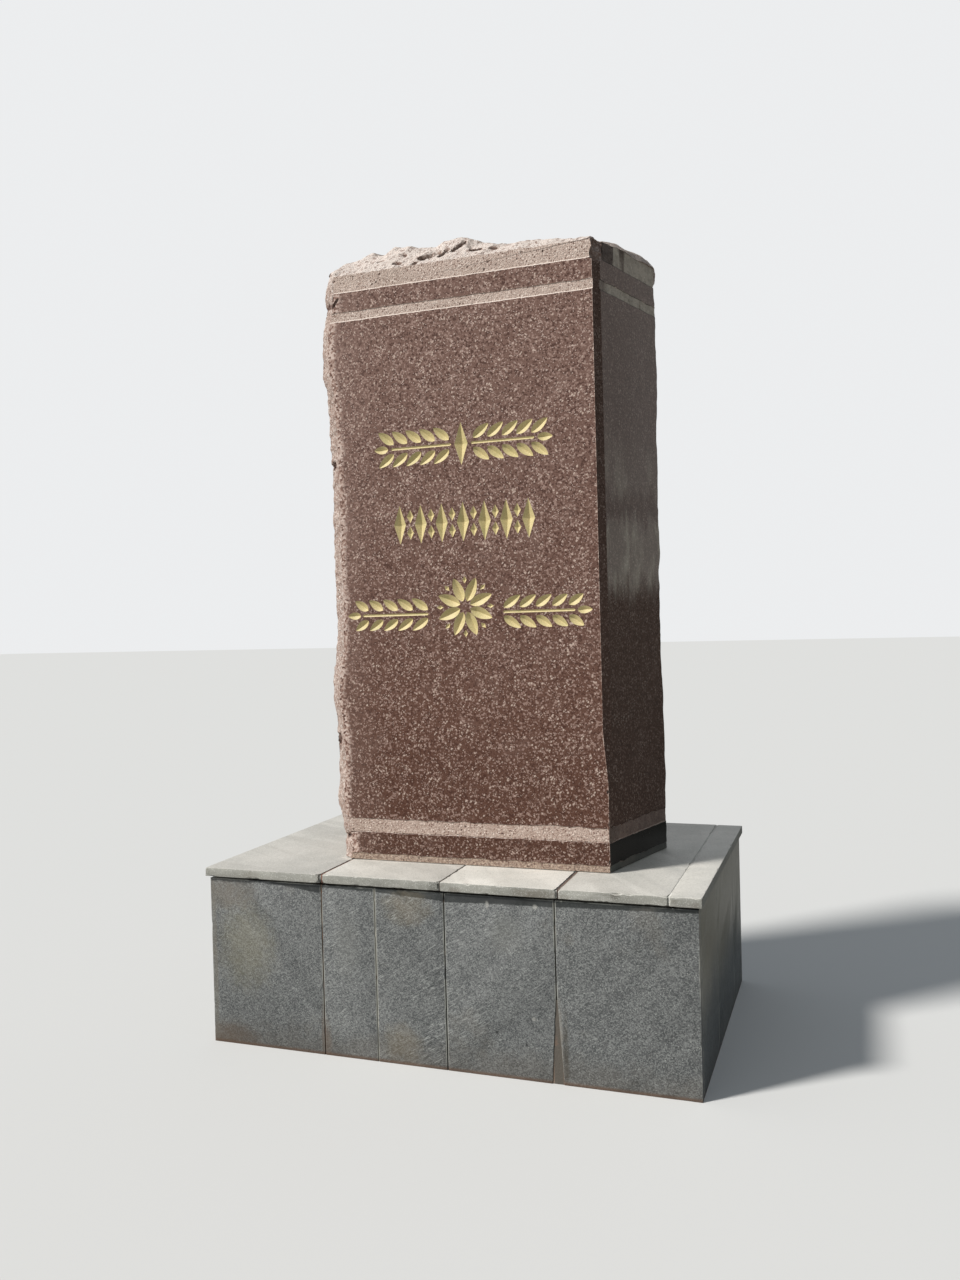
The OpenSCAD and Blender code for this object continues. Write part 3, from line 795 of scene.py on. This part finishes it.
# gouges and knocks: both ends of each, its half width and its depth
knocks = [
    ((-0.087, -0.316, 2.785), (-0.032, -0.303, 2.806), 0.016, 0.018),
    ((-0.018, -0.317, 2.784), (0.004, -0.304, 2.804), 0.013, 0.015),
    ((0.027, -0.308, 2.796), (0.066, -0.289, 2.828), 0.013, 0.015),
    ((-0.259, -0.308, 2.798), (-0.244, -0.307, 2.800), 0.010, 0.009),
    ((-0.193, -0.321, 2.776), (-0.172, -0.324, 2.772), 0.009, 0.008),
    ((-0.175, -0.297, 2.815), (-0.161, -0.300, 2.810), 0.010, 0.008),
    ((-0.119, -0.331, 2.761), (-0.109, -0.330, 2.763), 0.009, 0.008),
    ((0.088, -0.307, 2.800), (0.104, -0.298, 2.815), 0.010, 0.010),
    ((0.098, -0.315, 2.787), (0.132, -0.316, 2.785), 0.008, 0.008),
    ((0.169, -0.319, 2.781), (0.191, -0.318, 2.781), 0.008, 0.007),
    ((0.535, -0.325, 2.775), (0.548, -0.320, 2.765), 0.022, 0.014),
    ((0.555, -0.300, 2.770), (0.560, -0.280, 2.775), 0.020, 0.012),
    ((-0.480, -0.310, 2.650), (-0.462, -0.322, 2.654), 0.020, 0.008),
    ((-0.480, -0.310, 1.060), (-0.474, -0.315, 1.075), 0.030, 0.012),
    ((-0.470, -0.300, 0.706), (-0.440, -0.332, 0.712), 0.020, 0.016),
    ((-0.475, -0.300, 2.072), (-0.460, -0.320, 2.076), 0.020, 0.010)]
# here the stone broke less deep: a place, how far round it that reaches, and how far the stone stands out
full_places = [
    ((-0.470, -0.330, 2.705), 0.080, 0.008), ((0.595, -0.140, 2.790), 0.150, 0.009),
    ((0.640, 0.020, 2.790), 0.130, 0.011), ((0.660, 0.100, 2.740), 0.090, 0.012)]
# 1 where the stone is broken deep, which is painted dark as painted shade, -1 along the top's front edge,
# painted bright as a painted highlight
shade_and_edge_light_layer = bm.verts.layers.float.new("deep")
shifts = {}
for v in bm.verts:
    rock = [f for f in v.link_faces if f.material_index == SPLIT]
    out = sum((f.normal * f.calc_area() for f in rock), Vector())
    if out.length < 1e-9:
        continue
    out.normalize()
    depth = break_depth(v.co)
    for centre, reach, stands_out in full_places:
        nearness = max(0.0, 1 - (v.co - Vector(centre)).length / reach)
        nearness = nearness * nearness * (3 - 2 * nearness)
        depth = depth * (1 - nearness) - stands_out * nearness
    # gouges deepen the stone, and the layer marks them for painted shade
    for start, end, half_width, extra in knocks:
        gap = gap_to(v.co, start, end) / half_width + 0.45 * noise.noise(v.co * 90.0)
        if gap < 1.0:
            bowl = (1 - max(gap, 0.0) ** 2) ** 2
            depth += extra * bowl
            v[shade_and_edge_light_layer] = max(v[shade_and_edge_light_layer], bowl)
    # in and around the chips the layer marks painted shade too
    for centre, wide, high in cut.chips:
        off = v.co - centre
        if Vector((off.x / wide, off.y / wide, off.z / high)).length < 1.2:
            v[shade_and_edge_light_layer] = max(v[shade_and_edge_light_layer], 0.60 + 0.5 * noise.noise(v.co * 110.0))
    move = -out * depth
    # a point on the border of a worked face moves within that face, and one between two of them stays
    borders = []
    for f in v.link_faces:
        if f.material_index != SPLIT and not any(f.normal.dot(n) > 0.999 for n in borders):
            borders.append(f.normal.copy())
    if len(borders) > 1:
        continue
    if borders:
        move = (move - borders[0] * move.dot(borders[0])) * 0.8
        # along the top's front edge the layer marks a painted highlight
        if borders[0].y < -0.9 and v.co.z > top_z and v[shade_and_edge_light_layer] == 0.0:
            v[shade_and_edge_light_layer] = -1.0
    shifts[v] = move
for v, move in shifts.items():
    v.co += move
bm.normal_update()
for face in bm.faces:
    face.smooth = face.material_index == SPLIT
for edge in bm.edges:
    same = len(edge.link_faces) == 2 and all(f.material_index == SPLIT for f in edge.link_faces)
    edge.smooth = same and edge.calc_face_angle(0.0) < math.radians(38)
bm.to_mesh(stele.data)
bm.free()
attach(stele, "root")
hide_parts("stele")


# Facing panels of the plinth
# sawn slabs of dark grey granite, honed and set upright in mortar round the core, with slightly worn edges.
# Rubbed-off mortar, rust and the dirt that rain throws up from the ground have stained them.
def stain_and_shadow_coats(place, stains_and_shadows):
    """Coats for uneven stains and painted shadows on the front: x, z, half width, half height, colour and
    strength of each.
    """
    coats = []
    for x, z, half_width, half_height, tint, strength in stains_and_shadows:
        off_x = (place.part(0) - x) * (1 / half_width)
        off_z = (place.part(2) - z) * (1 / half_height)
        spread = off_x * off_x + off_z * off_z + place.cloud(28.0, 4.0, 0.65) * 2.4
        coats.append((tint, spread.rise(3.0, 0.9) * strength))
    return coats


# how far down the painted shadow of the cap reaches along the front: place in x, and depth in metres
cap_shadow_edge = [
    (-0.89, 0.0), (-0.64, 0.0), (-0.430, 0.027), (-0.415, 0.006), (-0.20, 0.010), (0.020, 0.024),
    (0.032, 0.028), (0.20, 0.022), (0.40, 0.020), (0.45, 0.017), (0.88, 0.009)]
cap_shadow_from, cap_shadow_length, cap_shadow_deepest = -0.90, 1.8, 0.04
cap_shadow_top = 0.590
cap_shadow_stops = [((x - cap_shadow_from) / cap_shadow_length, (d / cap_shadow_deepest,) * 3 + (1.0,)) for x, d in cap_shadow_edge]


def grey_granite(node, shade, saw_marks, stains_and_shadows):
    """The stone of one panel: each slab comes from another block, so each has its own shade and stains."""
    made, skin, place = stone("grey_granite_" + node)
    lo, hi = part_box(node)
    up = place.part(2)
    faces_right = place.facing(0).rise(0.9, 0.95)
    grain = place.warped(260.0, 0.0015).cell_numbers(290.0)
    fine = place.warped(400.0, 0.001).cell_numbers(520.0)
    uneven = place.cloud(14.0, 3.0, 0.6).rise(0.25, 0.75)
    # the saw has left fine scratches that climb to the right
    sawn = place.drawn_out(9.0, (0.0, 1.02, 0.0)).cloud(230.0, 2.0, 0.6)
    marks = place.cloud(6.0).rise(0.35, 0.6) * saw_marks
    # the stone is painted dark below the cap as a painted shadow of its overhang, deeper under some slabs
    # than under others
    cap_shadow_depth = 0.012
    if "front" in node:
        spot = (place.part(0) - cap_shadow_from) * (1 / cap_shadow_length)
        cap_shadow_depth = spot.node("ShaderNodeValToRGB", {"stops": cap_shadow_stops}, Fac=spot).part(0) * cap_shadow_deepest
    cap_shadow = up - cap_shadow_top + cap_shadow_depth + place.cloud(60.0, 3.0, 0.6) * 0.006
    # rubbed edges are paler, dirt gathers along the foot and rust runs here and there
    along = 0 if "front" in node or "back" in node else 1
    rim = (place.part(along) - lo[along]).smaller(hi[along] - place.part(along)).smaller(hi[2] - up)
    worn = rim.rise(0.0045, 0.0015) * place.cloud(8.0, 3.0, 0.6).rise(0.36, 0.56)
    grime = (up - place.cloud(11.0, 4.0, 0.65) * 0.20).rise(0.02, -0.08)
    rusty = place.cloud(5.0, 3.0, 0.6).rise(0.60, 0.74)
    # the right end stands in the shade, with a painted reflection: pale above and dark below
    pale_reflection_above = (up + place.drawn_out(12.0).cloud(26.0, 3.0, 0.6) * 0.16).rise(0.20, 0.50)
    colour = coated(
        uneven.blend(tone(93, 94, 94, shade), tone(112, 113, 112, shade)),
        ((144, 147, 144), grain.rise(0.62, 0.72) * 0.5),
        ((54, 58, 58), grain.rise(0.30, 0.20) * 0.6),
        ((186, 188, 182), place.flecks(190.0, 0.10, 0.32) * 0.55),
        ((52, 56, 55), place.flecks(150.0, 0.07, 0.30) * 0.5),
        ((170, 172, 168), sawn.rise(0.56, 0.70) * marks),
        ((56, 60, 60), sawn.rise(0.44, 0.30) * marks),
        ((30, 34, 33), cap_shadow.rise(0.0, 0.004) * 0.88),
        ((158, 158, 150), worn * 0.8),
        *stain_and_shadow_coats(place, stains_and_shadows),
        ((92, 84, 74), grime * 0.3),
        ((98, 76, 60), up.rise(0.016, 0.004) * 0.8),
        ((116, 106, 90), rusty * 0.14),
        ((154, 147, 130), faces_right * pale_reflection_above * 0.60),
        ((58, 66, 70), faces_right * (1 - pale_reflection_above) * 0.5))
    roughness = place.cloud(25.0, 3.0) * 0.15 + 0.42 - faces_right * 0.12
    finish(skin, colour, roughness, fine * 0.4 + grain * 0.4, 0.0003, 0.5)
    return made


def worn_block(node, granite, arris, chip, seed, step=0.012, broken=()):
    """A sawn block with its edges rubbed round and chipped here and there. The faces stay flat.
    Broken stretches are given as both ends, half width, and how far the arris is driven in."""
    bm = cad_mesh(node, 0.001)
    for e in list(bm.edges):
        n = int(e.calc_length() / step)
        if n > 1:
            bmesh.ops.subdivide_edges(bm, edges=[e], cuts=n - 1)
    bm.normal_update()
    planes = [(f.normal.copy(), f.calc_center_median().copy()) for f in bm.faces]
    edges = list(bm.edges)
    bmesh.ops.bevel(bm, geom=edges, offset=arris, segments=2, profile=0.5, affect="EDGES", clamp_overlap=True)
    for v in bm.verts:
        hits = [n for n, c in planes if abs((v.co - c).dot(n)) < arris * 1.3]
        if len(hits) < 2:
            continue
        on_face = [n for n, c in planes if abs((v.co - c).dot(n)) < 1e-5]
        p = v.co * 30.0 + Vector((seed, 2.7 * seed, 0.0))
        amount = max(0.0, noise.noise(p) * 0.8 + noise.noise(p * 3.1) * 0.5 - 0.22) * chip * 2.4
        for start, end, half_width, driven in broken:
            gap = gap_to(v.co, start, end) / half_width
            if gap < 1.0:
                amount = max(amount, driven * (1 - gap * gap) * (0.8 + 0.5 * noise.noise(v.co * 120.0)))
        for n in hits:
            if not any(n.dot(m) > 0.9 for m in on_face):
                v.co -= n * amount
    made = as_object(node + "_piece", bm, [granite])
    for p in made.data.polygons:
        p.use_smooth = True
    made.data.set_sharp_from_angle(angle=math.radians(25))
    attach(made, "root")
    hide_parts(node)
    return made


# how each front panel looks: its shade, how plain its saw marks are, and its stains and painted shadows
yellow, rust, soil = (136, 130, 104), (126, 110, 78), (100, 82, 66)
chalk, black = (196, 194, 186), (34, 36, 36)
panel_looks = {
    "front_panel_1": (0.98, 0.25, [
        (-0.726, 0.355, 0.110, 0.150, yellow, 0.34),
        (-0.800, 0.540, 0.110, 0.060, (112, 102, 88), 0.45),
        (-0.800, 0.020, 0.110, 0.050, soil, 0.6),
        (-0.858, 0.250, 0.010, 0.320, (120, 114, 102), 0.5),
        (-0.426, 0.060, 0.010, 0.120, soil, 0.5)]),
    "front_panel_2": (1.01, 0.45, [
        (-0.330, 0.400, 0.050, 0.120, (124, 124, 118), 0.25),
        (-0.418, 0.030, 0.020, 0.090, soil, 0.5)]),
    "front_panel_3": (1.0, 0.85, [
        (-0.105, 0.535, 0.085, 0.060, rust, 0.30),
        (-0.133, 0.065, 0.070, 0.070, rust, 0.30)]),
    "front_panel_4": (1.01, 0.55, [
        # a painted shadow of the cap along the top of this panel
        (0.215, 0.592, 0.190, 0.022, (24, 26, 26), 0.8),
        (0.185, 0.562, 0.006, 0.012, chalk, 0.45),
        (0.349, 0.566, 0.008, 0.008, chalk, 0.45),
        (0.209, 0.147, 0.005, 0.005, black, 0.9),
        (0.310, 0.116, 0.005, 0.005, black, 0.9),
        (0.336, 0.203, 0.007, 0.007, chalk, 0.6),
        (0.245, 0.468, 0.060, 0.070, (122, 122, 116), 0.3)]),
    "front_panel_5": (0.95, 0.25, [
        (0.420, 0.060, 0.014, 0.190, (142, 137, 128), 0.75),
        (0.441, 0.100, 0.010, 0.130, (62, 56, 46), 0.7)])}
random.seed(7)
for name in sorted(nodes):
    if "_panel_" in name:
        plain_shade = random.uniform(0.93, 1.03)
        granite = grey_granite(name, *panel_looks.get(name, (plain_shade, 0.3, [])))
        piece = worn_block(name, granite, 0.0012, 0.0022, random.uniform(0, 50))


# Cap slabs
# five thin slabs of light grey granite, sawn, with a honed top, laid from front to back in mortar.
# Their sawn edges are greyer than the tops and stained, and the right-hand end, in the stone's shade, is
# painted darker as painted shade.
def light_granite(name, shade, streaked, stains_and_shadows):
    made, skin, place = stone(name)
    grain = place.warped(220.0, 0.0015).cell_numbers(420.0)
    cloudy = place.cloud(7.0, 4.0, 0.6).rise(0.3, 0.72)
    sawn = place.drawn_out(8.0, (0.0, math.pi / 2, 0.0)).cloud(90.0)
    grey = coated(
        cloudy.blend((142, 141, 133), (162, 161, 152)),
        ((112, 108, 98), place.cloud(38.0, 4.0, 0.65).rise(0.56, 0.72) * 0.5),
        ((172, 170, 163), sawn.rise(0.55, 0.7) * 0.4),
        *stain_and_shadow_coats(place, stains_and_shadows))
    # white scratches of the saw run aslant over the tops, and white dust lies along the foot of the stone
    scratched = place.drawn_out(10.0, (math.pi / 2, 0.0, -0.62)).cloud(60.0, 3.0, 0.6).rise(0.55, 0.75)
    in_front = place.part(1).rise(face_y - 0.022, face_y - 0.004)
    dust = in_front * place.part(0).rise(-0.49, -0.46) * place.part(0).rise(0.56, 0.50)
    pale = coated(
        cloudy.blend(tone(172, 170, 163, shade), tone(187, 184, 177, shade)),
        ((206, 200, 190), scratched * streaked),
        ((216, 210, 201), dust * place.cloud(40.0, 3.0, 0.6).rise(0.38, 0.58) * 0.7))
    colour = coated(
        place.facing(2, "Normal").rise(0.5, 0.9).blend(grey, pale),
        ((120, 119, 113), grain.rise(0.3, 0.12) * 0.30),
        ((220, 219, 213), grain.rise(0.8, 0.92) * 0.35))
    # painted shade on the faces that look right
    right_end_shade = place.facing(0, "Normal").rise(0.6, 0.9)
    finish(skin, colour.darkened(1 - right_end_shade * 0.36), 0.62, grain, 0.0003, 0.5)
    return made


# broken stretches of the arrises: they run up the front edge, or back along a joint
brink_y, cap_top = -0.583, 0.630


def up_front(x, low, half_width, driven):
    return (x, brink_y, low), (x, brink_y, cap_top), half_width, driven


def along_joint(x, back, half_width, driven):
    return (x, brink_y, cap_top), (x, back, cap_top), half_width, driven


# how each slab looks, from the left: shade, how plain the scratches are, stains and broken stretches
cap_looks = [
    (0.970, 0.15,
        [(-0.70, 0.612, 0.06, 0.014, (120, 116, 104), 0.4)],
        [up_front(-0.418, 0.600, 0.020, 0.010), along_joint(-0.419, -0.35, 0.010, 0.0025)]),
    (1.092, 0.35,
        [(0.005, 0.612, 0.022, 0.030, (98, 98, 92), 0.7)],
        [up_front(-0.413, 0.600, 0.012, 0.004), up_front(0.020, 0.610, 0.012, 0.004)]),
    (1.175, 0.60,
        [(0.350, 0.612, 0.070, 0.018, (104, 94, 80), 0.6), (0.080, 0.606, 0.024, 0.014, (106, 98, 86), 0.5)],
        [along_joint(0.424, -0.34, 0.010, 0.004), up_front(0.424, 0.600, 0.010, 0.004)]),
    (1.055, 0.20,
        [(0.615, 0.622, 0.018, 0.012, (84, 80, 72), 0.8), (0.450, 0.606, 0.020, 0.012, (112, 106, 94), 0.5)],
        [along_joint(0.430, -0.34, 0.010, 0.004), up_front(0.780, 0.605, 0.010, 0.004),
            ((0.615, brink_y, cap_top), (0.622, brink_y, cap_top), 0.020, 0.005)]),
    (1.095, 0.20,
        [(0.860, 0.606, 0.016, 0.014, (108, 98, 88), 0.5)],
        [up_front(0.786, 0.622, 0.010, 0.003)])]
for i, (shade, streaked, stains_and_shadows, broken) in enumerate(cap_looks, 1):
    granite = light_granite("light_granite_%d" % i, shade, streaked, stains_and_shadows)
    piece = worn_block("cap_slab_%d" % i, granite, 0.0018, 0.004, 3.3 * i, 0.009, broken)


# Mortar
# brown cement mortar behind the panels, in their joints and under the cap slabs, and white and reddish
# mortar between the slabs, under the stone and where joints have been pointed again
def mortar(name, dark, light, touched_up=()):
    """Sand and cement. Pointed stretches have their start and end in x, lowest and highest z, and colour."""
    made, skin, place = stone(name)
    lumps = place.cloud(160.0, 4.0, 0.7)
    sand = place.cloud(900.0, 2.0, 0.6)
    colour = coated(
        place.cloud(9.0, 3.0, 0.6).rise(0.3, 0.7).blend(dark, light),
        ([c + 45 for c in light], sand.rise(0.4, 0.7) * 0.4),
        (tone(*dark, 0.65), lumps.rise(0.5, 0.3) * 0.5))
    for x0, x1, z0, z1, tint in touched_up:
        inside = (place.part(0) - x0).smaller(x1 - place.part(0))
        inside = inside.smaller(place.part(2) - z0).smaller(z1 - place.part(2)).rise(0.0, 0.001)
        colour = (inside * place.cloud(20.0, 4.0, 0.6).rise(0.28, 0.42)).blend(colour, tint)
    finish(skin, colour, 0.95, lumps * 0.7 + sand * 0.3, 0.003, 0.9)
    return made


def filled(name, made):
    """The CAD solid itself shows, made of this material."""
    nodes[name].data.materials.clear()
    nodes[name].data.materials.append(made)


dark_brown = (52, 42, 36)
pointed = [
    (-0.45, -0.40, 0.40, 0.60, (128, 100, 82)), (-0.45, -0.40, 0.0, 0.40, (84, 62, 50)),
    (-0.24, -0.20, 0.0, 0.60, (176, 172, 160)), (0.01, 0.06, 0.0, 0.60, (14, 15, 14)),
    (0.40, 0.43, 0.27, 0.60, (34, 32, 29)), (0.40, 0.43, 0.0, 0.27, (95, 89, 81))]
repaired = [(0.4285, 0.4310, 0.0, 1.0, (186, 170, 158))]
filled("backing_mortar", mortar("brown_mortar", (104, 84, 70), (132, 116, 102), pointed))
filled("cap_bed", mortar("bed_mortar", dark_brown, (84, 68, 58)))
filled("stele_bed", mortar("white_mortar", (170, 164, 154), (196, 192, 184)))
filled("cap_joint_1", mortar("joint_mortar_1", dark_brown, (132, 92, 78)))
filled("cap_joint_2", mortar("joint_mortar_2", dark_brown, (78, 70, 62)))
filled("cap_joint_3", mortar("joint_mortar_3", dark_brown, (96, 70, 60), repaired))
filled("cap_joint_4", mortar("joint_mortar_4", (186, 182, 174), (222, 220, 212)))

# Core
# the hidden block of cast concrete that carries the slabs and the stone
concrete, skin, place = stone("concrete")
lumps = place.cloud(40.0, 4.0, 0.7)
colour = lumps.rise(0.3, 0.7).blend((140, 138, 132), (166, 164, 158))
finish(skin, colour, 0.9, lumps, 0.003, 0.8)
filled("plinth_core", concrete)
